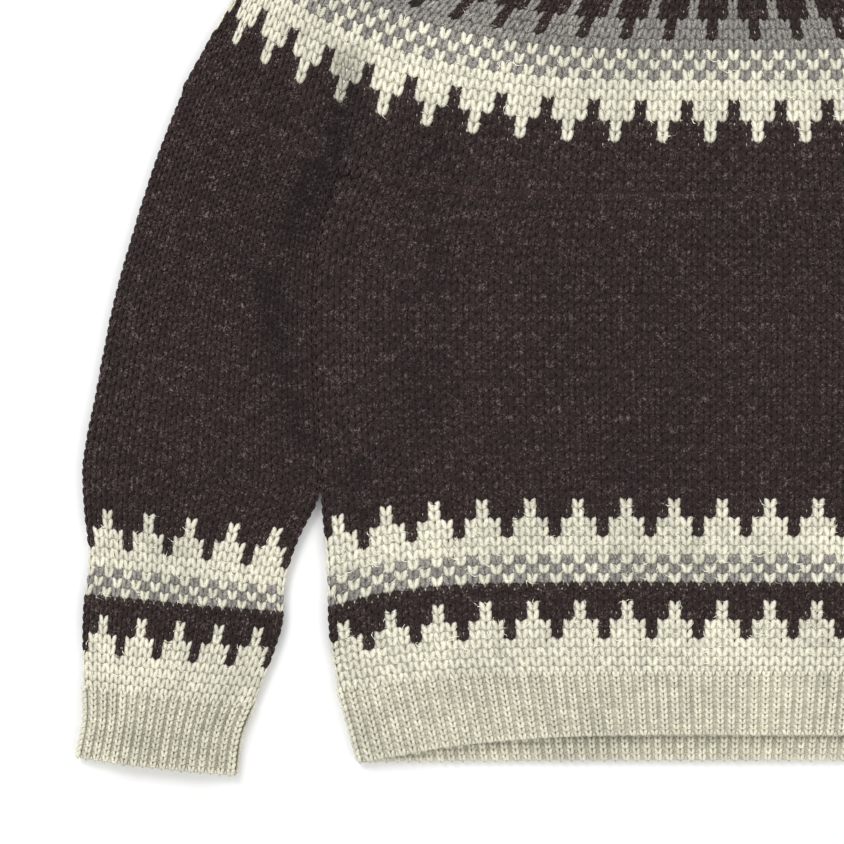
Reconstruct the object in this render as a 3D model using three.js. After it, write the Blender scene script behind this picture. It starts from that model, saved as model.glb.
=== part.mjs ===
// A round-yoke pullover knitted in wool, laid flat on its back with the sleeves beside the body.
// Millimetres, +Z up, +Y towards the neck, +X across to the wearer's left. Every piece is knitted in
// the round, so each one is a flattened tube: a front layer lying on a back layer, joined by a rounded
// fold at each side, with a thin slot between the layers that is open at both ends.
import * as THREE from "three";

// ---- Cloth ----
const WALL = 4; // one layer of bulky knitting
const SLOT = 0.3; // between the front layer and the back layer
const SEAM = 0.3; // between a piece and the next one up
const SIDE_GAP = 0.8; // from the shared groove to the body's fold, and to the sleeve's
const FOLD_RADIUS = WALL + SLOT / 2; // outside of a side fold
const SLOT_RADIUS = SLOT / 2; // inside of a side fold
const PUFF = 2.6; // how far the front layer stands off the back layer in the open
const EDGE_EASE = 26; // width over which that puff dies away towards a fold

// ---- Outline of the laid garment, measured up from the back hem and out from the centre line ----
const UNDERARM_X = 237; // where body, sleeve and yoke meet
const NECK_HALF = 94;

// Rounds of the body, hem rib included. half: to the outside of the side fold. side, front, back:
// height of the round at the fold, at centre front and at centre back. bow: how late it bends.
const BODY = [
  { front: 18, side: -1, back: 1, half: 227, bow: 3.2 },
  { front: 40, side: 26, back: 26, half: 234.5, bow: 4 },
  { front: 62, side: 51, back: 51, half: 241.5, bow: 5 },
  { front: 100, side: 83, back: 90, half: 246, bow: 6 },
  { front: 130, side: 115, back: 121, half: 247, bow: 6 },
  { front: 165, side: 152, back: 157, half: 250, bow: 6 },
  { front: 224, side: 216, back: 218, half: 254.5, bow: 5 },
  { front: 268, side: 268, back: 266, half: 256, bow: 4 },
  { front: 306, side: 316, back: 308, half: 254, bow: 4 },
  { front: 331, side: 347, back: 334, half: 247, bow: 4 },
];
const RIB_TOP = 62; // centre-front height of the round where the hem rib ends

// Rounds of the sleeve from the cuff edge up. outer and inner: the two folds. sag: share of the
// yoke join's curve that the round has taken on. An inner fold without a place lies on the body.
const SLEEVE = [
  { along: 0, outerX: 401, outerY: 3, innerX: 303, innerY: -8, sag: 0 },
  { along: 26, outerX: 396.5, outerY: 29, innerX: 299, innerY: 18, sag: 0 },
  { along: 50, outerX: 397.5, outerY: 53, innerX: 289, innerY: 42, sag: 0 },
  { along: 92, outerX: 397.5, outerY: 94, innerX: 274, innerY: 84, sag: 0 },
  { along: 126, outerX: 394, outerY: 128, innerX: 271.5, innerY: 114, sag: 0 },
  { along: 150, outerX: 396.5, outerY: 152, innerX: 263.5, innerY: 138, sag: 0 },
  { along: 176, outerX: 398, outerY: 178, innerX: 252, innerY: 161, sag: 0 },
  { along: 231, outerX: 389, outerY: 232, innerY: 208, sag: 0 },
  { along: 287, outerX: 378, outerY: 287, innerY: 256, sag: 0 },
  { along: 330, outerX: 366.5, outerY: 328, innerY: 294, sag: 0.15 },
  { along: 380, outerX: 351, outerY: 376, innerY: 334, sag: 0.5 },
];
const CUFF_TOP = 50; // distance along the sleeve where the cuff rib ends

// Rounds of the yoke from the join at the underarms (0) to the neckband (1).
// half and side: place of the shoulder fold. front and back: heights at the centre.
const YOKE = [
  { rise: 0, half: 333, side: 422, front: 351, back: 351, bow: 3.9 },
  { rise: 0.12, half: 319, side: 447, front: 376, back: 380, bow: 3.7 },
  { rise: 0.26, half: 303, side: 475, front: 406, back: 414, bow: 3.5 },
  { rise: 0.42, half: 283, side: 508, front: 440, back: 454, bow: 3.3 },
  { rise: 0.58, half: 252, side: 545, front: 474, back: 497, bow: 3.1 },
  { rise: 0.74, half: 206, side: 581, front: 508, back: 541, bow: 2.8 },
  { rise: 0.88, half: 150, side: 605, front: 538, back: 581, bow: 2.5 },
  { rise: 1, half: NECK_HALF, side: 616, front: 562, back: 608, bow: 2.2 },
];

// Rounds of the neckband from the yoke up to its bound-off edge.
const NECKBAND = [
  { rise: 0, half: NECK_HALF, side: 616, front: 562, back: 608, bow: 2.2 },
  { rise: 0.5, half: 91, side: 627, front: 573.5, back: 619, bow: 2.2 },
  { rise: 1, half: 89, side: 638, front: 585, back: 630, bow: 2.2 },
];

// Creases pressed into the puffed front layer, each a straight soft trough between two places,
// from the deep one at the underarm down the inside of the sleeve. depth: share of the puff lost.
const CREASES = [
  { x0: 231, y0: 420, x1: 238, y1: 378, width: 13, depth: 1 },
  { x0: 238, y0: 378, x1: 270, y1: 333, width: 12, depth: 0.9 },
  { x0: 270, y0: 333, x1: 283, y1: 290, width: 11, depth: 0.8 },
  { x0: 283, y0: 290, x1: 266, y1: 222, width: 11, depth: 0.7 },
  { x0: 178, y0: 372, x1: 178, y1: 296, width: 16, depth: 0.45 },
];

// ---- Fineness of the faceted cloth ----
const FOLD_STEPS = 6;
const FINENESS = {
  body: { across: 26, rounds: 9 },
  hemRib: { across: 26, rounds: 3 },
  sleeve: { across: 8, rounds: 10 },
  cuff: { across: 8, rounds: 3 },
  yoke: { across: 38, rounds: 8 },
  neckband: { across: 18, rounds: 3 },
};

// ---- Wool ----
const DARK_BROWN = new THREE.MeshStandardMaterial({ color: 0x3a302f, roughness: 0.95, metalness: 0 });
const CREAM = new THREE.MeshStandardMaterial({ color: 0xcfccb6, roughness: 0.93, metalness: 0 });

// The rows of a table as a smooth function of one of its columns.
function smooth(table, key) {
  const names = Object.keys(table[0]);
  const places = table.map((row) => row[key]);
  const values = table.flatMap((row) => names.map((name) => row[name]));
  const cubic = new THREE.CubicInterpolant(places, values, names.length);
  return (at) => {
    const found = cubic.evaluate(at);
    return Object.fromEntries(names.map((name, i) => [name, found[i]]));
  };
}

// A round of the body, yoke or neckband: heights along it, and the axes of its two side folds.
// s runs from -1 at the wearer's right fold to 1 at the left one.
function bowedRound(row) {
  const height = (centre, s) => centre + (row.side - centre) * Math.abs(s) ** row.bow;
  const slope = ((row.side - row.front) * row.bow) / row.half;
  const out = new THREE.Vector2(1, slope).normalize();
  const foldX = row.half - FOLD_RADIUS * out.x;
  const place = (centre, s) =>
    new THREE.Vector2(foldX * s, height(centre, s) - FOLD_RADIUS * out.y * Math.abs(s) ** row.bow);
  return {
    front: (s) => place(row.front, s),
    back: (s) => place(row.back, s),
    outLeft: out,
    outRight: new THREE.Vector2(-out.x, out.y),
  };
}

const shifted = (round, dy) => ({
  ...round,
  front: (s) => round.front(s).add(new THREE.Vector2(0, dy)),
  back: (s) => round.back(s).add(new THREE.Vector2(0, dy)),
});

const yokeAt = smooth(YOKE, "rise");
const yokeRound = (rise) => bowedRound(yokeAt(rise));
const joinRound = yokeRound(0);
const joinFoldX = joinRound.front(1).x;

// The join's own curve at a distance x from the centre line, and its direction there.
const joinAt = (x) => joinRound.front(x / joinFoldX);
const alongJoin = (x) => joinAt(x + 0.5).sub(joinAt(x - 0.5)).normalize();

// The body's last round follows the join between the underarms.
const bodyTopFoldX = UNDERARM_X - SIDE_GAP - FOLD_RADIUS;
const bodyTopLine = (s) => joinAt(bodyTopFoldX * s).add(new THREE.Vector2(0, -SEAM));
const bodyTopRound = {
  front: bodyTopLine,
  back: bodyTopLine,
  outLeft: alongJoin(bodyTopFoldX),
  outRight: alongJoin(-bodyTopFoldX).negate(),
};
const bodyTable = [
  ...BODY,
  {
    front: joinAt(0).y,
    side: joinAt(UNDERARM_X).y,
    back: joinAt(0).y,
    half: UNDERARM_X - SIDE_GAP,
    bow: 3.9,
  },
];
const bodyAt = smooth(bodyTable, "front");
const bodyRound = (front) => ({
  ...bowedRound(bodyAt(front)),
  outLeft: new THREE.Vector2(1, 0),
  outRight: new THREE.Vector2(-1, 0),
});
const bodySideAt = smooth(
  bodyTable.map(({ side, half }) => ({ side, half })),
  "side",
);

// A round of the wearer's right sleeve, mirrored to +X: s runs from 1 at the outer fold to -1 at the
// inner fold.
const sleeveTable = SLEEVE.map((row) => ({
  along: row.along,
  outerX: row.outerX,
  outerY: row.outerY,
  innerX: row.innerX ?? bodySideAt(row.innerY).half + 2 * SIDE_GAP,
  innerY: row.innerY,
  sag: row.sag,
}));
const joinOuter = joinRound.front(1).addScaledVector(joinRound.outLeft, FOLD_RADIUS);
const SLEEVE_LENGTH = 430;
sleeveTable.push({
  along: SLEEVE_LENGTH,
  outerX: joinOuter.x,
  outerY: joinOuter.y - SEAM,
  innerX: UNDERARM_X + SIDE_GAP,
  innerY: joinAt(UNDERARM_X).y - SEAM,
  sag: 1,
});
const sleeveAt = smooth(sleeveTable, "along");
const topInnerX = UNDERARM_X + SIDE_GAP + FOLD_RADIUS;
const topPlace = (share) => joinAt(THREE.MathUtils.lerp(topInnerX, joinFoldX, share));

function sleeveRound(along) {
  const row = sleeveAt(along);
  const outer = new THREE.Vector2(row.outerX, row.outerY);
  const inner = new THREE.Vector2(row.innerX, row.innerY);
  const chord = outer.clone().sub(inner).normalize();
  const out = chord.clone().lerp(joinRound.outLeft, row.sag).normalize();
  const outerFold = outer.clone().addScaledVector(out, -FOLD_RADIUS);
  const innerFold = inner.clone().addScaledVector(chord, FOLD_RADIUS);
  const place = (s) => {
    const share = (s + 1) / 2;
    const sagged = topPlace(share).y - THREE.MathUtils.lerp(topPlace(0).y, topPlace(1).y, share);
    const onChord = innerFold.clone().lerp(outerFold, share);
    onChord.y += row.sag * sagged;
    return onChord;
  };
  return { front: place, back: place, outLeft: out, outRight: chord.clone().negate() };
}

// The sleeve's last round follows the join exactly, a seam's width below it.
const sleeveTopLine = (s) => topPlace((s + 1) / 2).add(new THREE.Vector2(0, -SEAM));
const sleeveTopRound = {
  front: sleeveTopLine,
  back: sleeveTopLine,
  outLeft: joinRound.outLeft,
  outRight: alongJoin(topInnerX).negate(),
};

// How far the front layer is lifted at a place: the puff, less what the creases press down, and
// nothing at a fold.
function lift(place, fromFold) {
  let share = THREE.MathUtils.smoothstep(fromFold, 0, EDGE_EASE);
  const x = Math.abs(place.x);
  for (const crease of CREASES) {
    const start = new THREE.Vector2(crease.x0, crease.y0);
    const run = new THREE.Vector2(crease.x1, crease.y1).sub(start);
    const gone = new THREE.Vector2(x, place.y).sub(start).dot(run) / run.lengthSq();
    const nearest = start.clone().addScaledVector(run, THREE.MathUtils.clamp(gone, 0, 1));
    const distance = nearest.distanceTo(new THREE.Vector2(x, place.y));
    share *= 1 - crease.depth * Math.exp(-((distance / crease.width) ** 2));
  }
  return PUFF * share;
}

// One closed loop of points round a flattened tube. The outside loop has the rounded folds, and the
// inside loop is the slot between the layers.
function loopOf(round, across, inside) {
  const radius = inside ? SLOT_RADIUS : FOLD_RADIUS;
  const points = [];
  const layer = (line, z, from, to, lifted) => {
    const fold = [line(-1), line(1)];
    for (let i = 0; i <= across; i++) {
      const place = line(THREE.MathUtils.lerp(from, to, i / across));
      const fromFold = Math.min(place.distanceTo(fold[0]), place.distanceTo(fold[1]));
      points.push(new THREE.Vector3(place.x, place.y, z + (lifted ? lift(place, fromFold) : 0)));
    }
  };
  const fold = (centre, out, turn) => {
    for (let i = 1; i < FOLD_STEPS; i++) {
      const angle = turn * (Math.PI / 2 - (Math.PI * i) / FOLD_STEPS);
      const reach = radius * Math.cos(angle);
      points.push(
        new THREE.Vector3(
          centre.x + out.x * reach,
          centre.y + out.y * reach,
          FOLD_RADIUS + radius * Math.sin(angle),
        ),
      );
    }
  };
  layer(round.front, FOLD_RADIUS + radius, -1, 1, true);
  fold(round.front(1), round.outLeft, 1);
  layer(round.back, FOLD_RADIUS - radius, 1, -1, false);
  fold(round.front(-1), round.outRight, -1);
  return points;
}

// A closed tube wall through a list of rounds: outside, inside and the two rims between them.
function knittedTube(rounds, across) {
  const loops = [
    ...rounds.map((round) => loopOf(round, across, false)),
    ...rounds.map((round) => loopOf(round, across, true)).reverse(),
  ];
  const count = loops[0].length;
  const position = loops.flat().flatMap((point) => point.toArray());
  const index = [];
  loops.forEach((_, ring) => {
    const here = ring * count;
    const next = ((ring + 1) % loops.length) * count;
    for (let i = 0; i < count; i++) {
      const j = (i + 1) % count;
      index.push(here + i, next + i, next + j);
      index.push(here + i, next + j, here + j);
    }
  });
  const geometry = new THREE.BufferGeometry();
  geometry.setAttribute("position", new THREE.Float32BufferAttribute(position, 3));
  geometry.setIndex(index);
  return facingOut(geometry);
}

// Turns every face round if the closed surface holds a negative volume.
function facingOut(geometry) {
  const at = geometry.getAttribute("position");
  const index = geometry.getIndex().array;
  const corner = (i) => new THREE.Vector3().fromBufferAttribute(at, index[i]);
  let volume = 0;
  for (let i = 0; i < index.length; i += 3) {
    volume += corner(i).dot(corner(i + 1).cross(corner(i + 2)));
  }
  if (volume < 0) {
    for (let i = 0; i < index.length; i += 3) {
      [index[i + 1], index[i + 2]] = [index[i + 2], index[i + 1]];
    }
  }
  geometry.computeVertexNormals();
  return geometry;
}

// The same tube on the other side of the centre line.
function mirrored(geometry) {
  const copy = geometry.clone();
  copy.scale(-1, 1, 1);
  return facingOut(copy);
}

// Rounds spread evenly between two places of a table.
function spread(roundAt, from, to, count) {
  return Array.from({ length: count }, (_, i) =>
    roundAt(THREE.MathUtils.lerp(from, to, i / (count - 1))),
  );
}

const laid = new THREE.Group();

function addPiece(name, geometry, material) {
  const piece = new THREE.Mesh(geometry, material);
  piece.name = name;
  laid.add(piece);
}

// Hem rib and body. The last round of the body is the join itself.
const bodyStart = bodyTable[0].front;
const bodyEnd = bodyTable[bodyTable.length - 1].front;
const { body, hemRib, sleeve, cuff, yoke, neckband } = FINENESS;
const ribRounds = spread(bodyRound, bodyStart, RIB_TOP - SEAM, hemRib.rounds);
addPiece("hem_rib", knittedTube(ribRounds, hemRib.across), CREAM);
const bodyRounds = spread(bodyRound, RIB_TOP, bodyEnd, body.rounds);
bodyRounds[bodyRounds.length - 1] = bodyTopRound;
addPiece("body", knittedTube(bodyRounds, body.across), DARK_BROWN);

// Sleeves and cuffs, a pair of each.
const cuffRounds = spread(sleeveRound, 0, CUFF_TOP - SEAM, cuff.rounds);
const cuffTube = knittedTube(cuffRounds, cuff.across);
const sleeveRounds = spread(sleeveRound, CUFF_TOP, SLEEVE_LENGTH, sleeve.rounds);
sleeveRounds[sleeveRounds.length - 1] = sleeveTopRound;
const sleeveTube = knittedTube(sleeveRounds, sleeve.across);
addPiece("sleeve_left", sleeveTube, DARK_BROWN);
addPiece("sleeve_right", mirrored(sleeveTube), DARK_BROWN);
addPiece("cuff_left", cuffTube, CREAM);
addPiece("cuff_right", mirrored(cuffTube), CREAM);

// Yoke and neckband, worked on from the join.
addPiece("yoke", knittedTube(spread(yokeRound, 0, 1, yoke.rounds), yoke.across), DARK_BROWN);
const neckbandAt = smooth(NECKBAND, "rise");
const neckbandRound = (rise) => shifted(bowedRound(neckbandAt(rise)), SEAM);
const neckRounds = spread(neckbandRound, 0, 1, neckband.rounds);
addPiece("neckband", knittedTube(neckRounds, neckband.across), DARK_BROWN);

// The origin is the bottom centre of the whole garment.
const box = new THREE.Box3().setFromObject(laid);
const middle = box.getCenter(new THREE.Vector3());
laid.position.set(-middle.x, -middle.y, -box.min.z);

const sweater = new THREE.Group();
sweater.add(laid);

export default sweater;
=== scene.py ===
"""A round-yoke wool pullover laid flat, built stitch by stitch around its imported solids.

Every knitted piece is a flattened tube. Its stitches are laid out on a flat field by Geometry
Nodes, one column and one row apart, and the field is then draped round the tube.
"""

import logging
import math
from collections.abc import Callable
from dataclasses import dataclass, field
from enum import Enum

import bpy
import numpy as np
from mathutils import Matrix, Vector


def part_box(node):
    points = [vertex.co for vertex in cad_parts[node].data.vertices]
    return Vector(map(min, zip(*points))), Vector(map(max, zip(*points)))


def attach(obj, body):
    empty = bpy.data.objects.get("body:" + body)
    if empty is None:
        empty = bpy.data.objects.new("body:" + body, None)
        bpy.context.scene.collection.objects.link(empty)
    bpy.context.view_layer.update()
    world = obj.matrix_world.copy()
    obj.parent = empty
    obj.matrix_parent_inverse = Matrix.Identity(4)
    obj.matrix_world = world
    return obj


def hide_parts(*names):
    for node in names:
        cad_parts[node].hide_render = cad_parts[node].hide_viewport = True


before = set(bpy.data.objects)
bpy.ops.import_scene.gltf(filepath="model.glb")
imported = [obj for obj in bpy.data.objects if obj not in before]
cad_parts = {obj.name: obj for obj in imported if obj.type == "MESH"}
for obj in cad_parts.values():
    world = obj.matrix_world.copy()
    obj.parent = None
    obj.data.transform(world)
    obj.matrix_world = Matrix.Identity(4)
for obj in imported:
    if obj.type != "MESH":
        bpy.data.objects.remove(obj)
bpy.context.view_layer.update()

LOG = logging.getLogger("sweater")
MM = 0.001
SEED = 7
RIB_SEED = SEED + 31
EDGE_SEED = SEED + 53
FIBRE_SEED = SEED + 77

# Cloth, in millimetres: the fold axis lies at AXIS above the surface, the backing wall runs between
# two radii round it, and stitches stand on the wall up to the real thickness.
AXIS = 4.15
WALL_OUT = 2.5
WALL_IN = 0.5
REAL_OUT = 4.15
FOLD_MEAN = 3.3
PUFF = 5.0
EDGE_EASE = 26.0
SEAM = 0.3
SIDE_GAP = 0.8
SLEEVE_TUCK = -2.2
OVERRUN = 8.0
LOWEST = 0.05

# Round the underarm the edge ease gives way to the yoke's full puff: where it starts, how far up
# and how far sideways it takes, and how much ease it takes off.
EASE_OFF_FROM = 345.0
EASE_OFF_RISE = 50.0
EASE_OFF_REACH = 45.0
EASE_OFF_HOLD = 1.6
EASE_OFF = 30.0

# Garment lay-out, in millimetres from the back hem and the centre line.
UNDERARM_X = 237.0
JOIN_CENTRE = 351.0
JOIN_OUTER_X = 333.0
JOIN_OUTER_Y = 422.0
JOIN_FOLD_X = 329.8
JOIN_BOW = 3.9
NECK_TOP = 638.3
HEM = 18.0
RIB_TOP = 60.0
CUFF_TOP = 48.0
SLEEVE_LENGTH = 430.0
BODY_COLUMNS = ("front", "side", "back", "half", "bow")
BODY = (
    (18, -1, 1, 227, 3.2),
    (40, 26, 26, 234.5, 4),
    (62, 51, 51, 241.5, 5),
    (100, 83, 90, 246, 6),
    (130, 115, 121, 247, 6),
    (165, 152, 157, 250, 6),
    (224, 216, 218, 254.5, 5),
    (268, 268, 266, 256, 4),
    (306, 316, 308, 254, 4),
    (331, 347, 334, 247, 4),
)
SLEEVE_COLUMNS = ("along", "outer_x", "outer_y", "inner_x", "inner_y", "sag")
SLEEVE = (
    (0, 401, 3, 303, -8, 0),
    (26, 396.5, 29, 299, 18, 0),
    (50, 397.5, 53, 289, 42, 0),
    (92, 397.5, 94, 274, 84, 0),
    (126, 394, 128, 271.5, 114, 0),
    (150, 396.5, 152, 263.5, 138, 0),
    (176, 398, 178, 252, 161, 0),
    (231, 389, 232, None, 208, 0),
    (287, 378, 287, None, 256, 0),
    (330, 366.5, 328, None, 294, 0.15),
    (380, 351, 376, None, 334, 0.5),
)
YOKE_COLUMNS = ("rise", "half", "side", "front", "back", "bow")
YOKE = (
    (0, 333, 422, 351, 351, 3.9),
    (0.12, 319, 447, 376, 380, 3.7),
    (0.26, 303, 475, 406, 414, 3.5),
    (0.42, 283, 508, 440, 454, 3.3),
    (0.58, 252, 545, 474, 497, 3.1),
    (0.74, 206, 581, 508, 541, 2.8),
    (0.88, 150, 605, 538, 581, 2.5),
    (1, 94, 616, 562, 608, 2.2),
)
NECKBAND = (
    (0, 94, 616, 562, 608, 2.2),
    (0.5, 91, 627, 573.5, 619, 2.2),
    (1, 89, 638, 585, 630, 2.2),
)
# Soft troughs: start, end, width and the share of the puff that is lost.
CREASES = (
    (234, 428, 238, 385, 10, 1.0),
    (238, 385, 255, 350, 11, 1.0),
    (255, 350, 270, 325, 9, 0.9),
    (281, 300, 279, 268, 9, 0.85),
    (279, 268, 265, 205, 10, 0.7),
    (178, 372, 178, 296, 12, 0.5),
    (190, 280, 186, 215, 18, 0.3),
    (224, 180, 224, 152, 9, 0.5),
)


class Yarn(Enum):
    """The three wools, by the number that a stitch carries for the material."""

    DARK = 0.0
    CREAM = 1.0
    GREY = 2.0


class StitchKind(Enum):
    """The shapes that are repeated."""

    KNIT = "two legs of a V"
    RIDGE = "a taller, longer V for the ridges of rib"
    PURL = "a bar across"
    FIBRE = "a stray fibre"


class Layer(Enum):
    """The faces of a flattened tube that carry stitches."""

    FRONT = "upper layer, outside"
    BACK = "lower layer, outside"
    INSIDE = "lower layer, seen from inside the garment"


class Side(Enum):
    """The wearer's two sides, by the sign of X."""

    LEFT = 1
    RIGHT = -1


YarnLookUp = Callable[[np.ndarray, np.ndarray], np.ndarray]
Shape = tuple[np.ndarray, np.ndarray, np.ndarray]
D, C, G = Yarn.DARK, Yarn.CREAM, Yarn.GREY

# Charts, bottom round first, four stitches to a repeat, the peak on the first stitch.
BORDER = (
    (C, C, C, C), (C, C, C, C), (C, C, C, C),
    (C, C, D, C), (C, C, D, C), (C, D, D, D), (C, D, D, D),
    (D, D, D, D), (D, D, D, D),
    (C, G, C, G), (G, C, G, C), (C, G, C, G),
    (C, C, C, C), (C, C, C, C),
    (C, C, D, C), (C, C, D, C), (C, D, D, D), (C, D, D, D),
)
YOKE_CHART = (
    (D, D, D, D), (D, D, D, D), (D, D, D, D), (D, D, D, D), (D, D, D, D),
    (C, D, D, D), (C, D, D, D), (C, C, D, C), (C, C, D, C),
    (C, C, C, C), (C, C, C, C),
    (C, G, C, G), (G, C, G, C), (C, G, C, G),
    (G, G, G, G),
    (D, G, G, G), (D, G, G, G), (D, D, G, D), (D, D, G, D),
)


class Smooth:
    """The rows of a table as smooth functions of its first column."""

    def __init__(self, columns: tuple[str, ...], rows: list[tuple[float, ...]]) -> None:
        """Keeps the table and works out a slope for every value.

        Args:
            columns: names of the columns, the place column first.
            rows: the table, in rising order of place.
        """
        self.columns = columns
        table = np.array(rows, float)
        self.at, self.values = table[:, 0], table[:, 1:]
        self.slopes = np.gradient(self.values, self.at, axis=0)

    def __call__(self, at: np.ndarray) -> dict[str, np.ndarray]:
        """The columns at some places.

        Args:
            at: places along the first column.

        Returns:
            One array of values for each column.
        """
        at = np.asarray(at, float)
        i = np.clip(np.searchsorted(self.at, at) - 1, 0, len(self.at) - 2)
        step = self.at[i + 1] - self.at[i]
        t = ((at - self.at[i]) / step)[..., None]
        step = step[..., None]
        t2, t3 = t * t, t * t * t
        found = (
            (2 * t3 - 3 * t2 + 1) * self.values[i]
            + (t3 - 2 * t2 + t) * step * self.slopes[i]
            + (3 * t2 - 2 * t3) * self.values[i + 1]
            + (t3 - t2) * step * self.slopes[i + 1]
        )
        result = {name: found[..., k] for k, name in enumerate(self.columns[1:])}
        result[self.columns[0]] = at
        return result


yoke_table = Smooth(YOKE_COLUMNS, list(YOKE))
neck_table = Smooth(YOKE_COLUMNS, list(NECKBAND))


def bowed(row: dict[str, np.ndarray], s: np.ndarray, back: np.ndarray) -> tuple[np.ndarray, ...]:
    """Places along a bowed round, between its two fold axes.

    Args:
        row: the round's table values.
        s: -1 at the wearer's right fold to 1 at the left one.
        back: true where the place is on the back layer.

    Returns:
        x, y and the outward direction of the nearer fold, as x and y.
    """
    centre = np.where(back, row["back"], row["front"])
    slope = (row["side"] - row["front"]) * row["bow"] / row["half"]
    norm = np.sqrt(1 + slope**2)
    out_x, out_y = 1 / norm, slope / norm
    x = (row["half"] - REAL_OUT * out_x) * s
    y = centre + (row["side"] - centre - REAL_OUT * out_y) * np.abs(s) ** row["bow"]
    return x, y, np.sign(s) * out_x, out_y


def join_y(x: np.ndarray) -> np.ndarray:
    """Height of the yoke's join at a distance from the centre line."""
    row = yoke_table(np.zeros_like(x))
    slope = (row["side"] - row["front"]) * row["bow"] / row["half"]
    norm = np.sqrt(1 + slope**2)
    reach = row["half"] - REAL_OUT / norm
    rise = row["side"] - row["front"] - REAL_OUT * slope / norm
    return row["front"] + rise * np.abs(x / reach) ** row["bow"]


JOIN_SIDE = float(join_y(np.array([UNDERARM_X]))[0])
BODY_END = (JOIN_CENTRE, JOIN_SIDE, JOIN_CENTRE, UNDERARM_X - SIDE_GAP, JOIN_BOW)
body_table = Smooth(BODY_COLUMNS, [*BODY, BODY_END])
body_side = Smooth(
    ("side", "half"), [(row[1], row[3]) for row in BODY] + [(JOIN_SIDE, UNDERARM_X - SIDE_GAP)]
)


def sleeve_rows() -> list[tuple[float, ...]]:
    """The sleeve's table with the inner fold tucked into the body's edge, and the join added."""
    rows = []
    for along, outer_x, outer_y, inner_x, inner_y, sag in SLEEVE:
        if inner_x is None:
            inner_x = float(body_side(np.array([inner_y]))["half"][0]) + SLEEVE_TUCK
        rows.append((along, outer_x, outer_y, inner_x, inner_y, sag))
    outer, inner = (JOIN_OUTER_X, JOIN_OUTER_Y - SEAM), (UNDERARM_X + SLEEVE_TUCK, JOIN_SIDE - SEAM)
    rows.append((SLEEVE_LENGTH, *outer, *inner, 1.0))
    return rows


sleeve_table = Smooth(SLEEVE_COLUMNS, sleeve_rows())


def crease_share(x: np.ndarray, y: np.ndarray) -> np.ndarray:
    """How deep in a crease each place lies: 0 on open cloth, 1 at the bottom of the deepest."""
    ax, kept = np.abs(x), np.ones_like(x)
    for x0, y0, x1, y1, width, depth in CREASES:
        run_x, run_y = x1 - x0, y1 - y0
        gone = np.clip(((ax - x0) * run_x + (y - y0) * run_y) / (run_x**2 + run_y**2), 0, 1)
        distance = np.hypot(ax - x0 - gone * run_x, y - y0 - gone * run_y)
        kept = kept * (1 - depth * np.exp(-((distance / width) ** 2)))
    return 1 - kept


def lift(x: np.ndarray, y: np.ndarray, from_fold: np.ndarray) -> np.ndarray:
    """Height of the front layer over its flat place: the puff less the creases.

    Args:
        x: distance from the centre line, in millimetres.
        y: distance from the back hem.
        from_fold: distance from the nearer fold.

    Returns:
        Millimetres to add to the layer's height.
    """
    aside = np.abs(np.abs(x) - UNDERARM_X) / EASE_OFF_REACH
    near_join = np.clip((y - EASE_OFF_FROM) / EASE_OFF_RISE, 0, 1)
    near_join = near_join * np.clip(EASE_OFF_HOLD - aside, 0, 1)
    ease = np.clip((from_fold + EASE_OFF * near_join) / EDGE_EASE, 0, 1)
    share = ease * ease * (3 - 2 * ease) * (1 - crease_share(x, y))
    ripple = 0.5 + 0.5 * np.sin(x / 31.0 + 1.3) * np.sin(y / 43.0 + x / 90.0)
    return PUFF * share * (0.78 + 0.22 * ripple)


@dataclass
class Form:
    """A flattened tube as a function from column, row and height to a place in the garment."""

    columns: int
    rows: int
    start: float
    end: float

    def round_at(self, at: np.ndarray, s: np.ndarray, back: np.ndarray) -> tuple[np.ndarray, ...]:
        """Places along a round and their fold's direction; each kind of tube has its own.

        Args:
            at: places along the tube's table.
            s: -1 at the wearer's right fold to 1 at the left one.
            back: true where the place is on the back layer.

        Returns:
            x, y and the outward direction of the nearer fold, as x and y.
        """
        raise NotImplementedError

    def half_width(self, at: np.ndarray) -> np.ndarray:
        """Distance from the middle of a round to its fold axis."""
        raise NotImplementedError

    def spread(self, t: np.ndarray, at: np.ndarray) -> np.ndarray:
        """How columns are shared out across the cloth, -1 to 1 to the same."""
        return t

    def drape(
        self, column: np.ndarray, row: np.ndarray, height: np.ndarray, inside: bool = False
    ) -> np.ndarray:
        """Lays points of the flat field round the tube.

        Args:
            column: place round the tube, in stitches, 0 at the wearer's right fold.
            row: place along it, in rounds.
            height: millimetres out from the backing wall's face.
            inside: true for the inside face of the wall, where height runs inwards.

        Returns:
            Places in the garment's own millimetres, one row of three for each point.
        """
        at = self.start + (self.end - self.start) * row / self.rows
        low, high = min(self.start, self.end), max(self.start, self.end)
        at = np.clip(at, low - OVERRUN, high + OVERRUN)
        share = np.mod(column / self.columns, 1.0) * 2
        back = share >= 1
        t = np.where(back, 3 - 2 * share, 2 * share - 1)
        half = self.half_width(at)
        quarter = math.pi / 2 * FOLD_MEAN
        along = self.spread(t, at) * (half + quarter)
        s = np.clip(along / half, -1, 1)
        over = np.clip((np.abs(along) - half) / quarter, 0, 1)
        x, y, out_x, out_y = self.round_at(at, s, back)
        lifted = np.where(back, 0.0, lift(x, y, half * (1 - np.abs(s))))
        radius = (WALL_IN - height) if inside else (WALL_OUT + height)
        angle = math.pi / 2 * (1 - over)
        z = AXIS + np.where(back, -1.0, 1.0) * radius * np.sin(angle) + lifted
        flat = radius * np.cos(angle)
        return np.stack([x + out_x * flat, y + out_y * flat, z], axis=-1)


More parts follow.
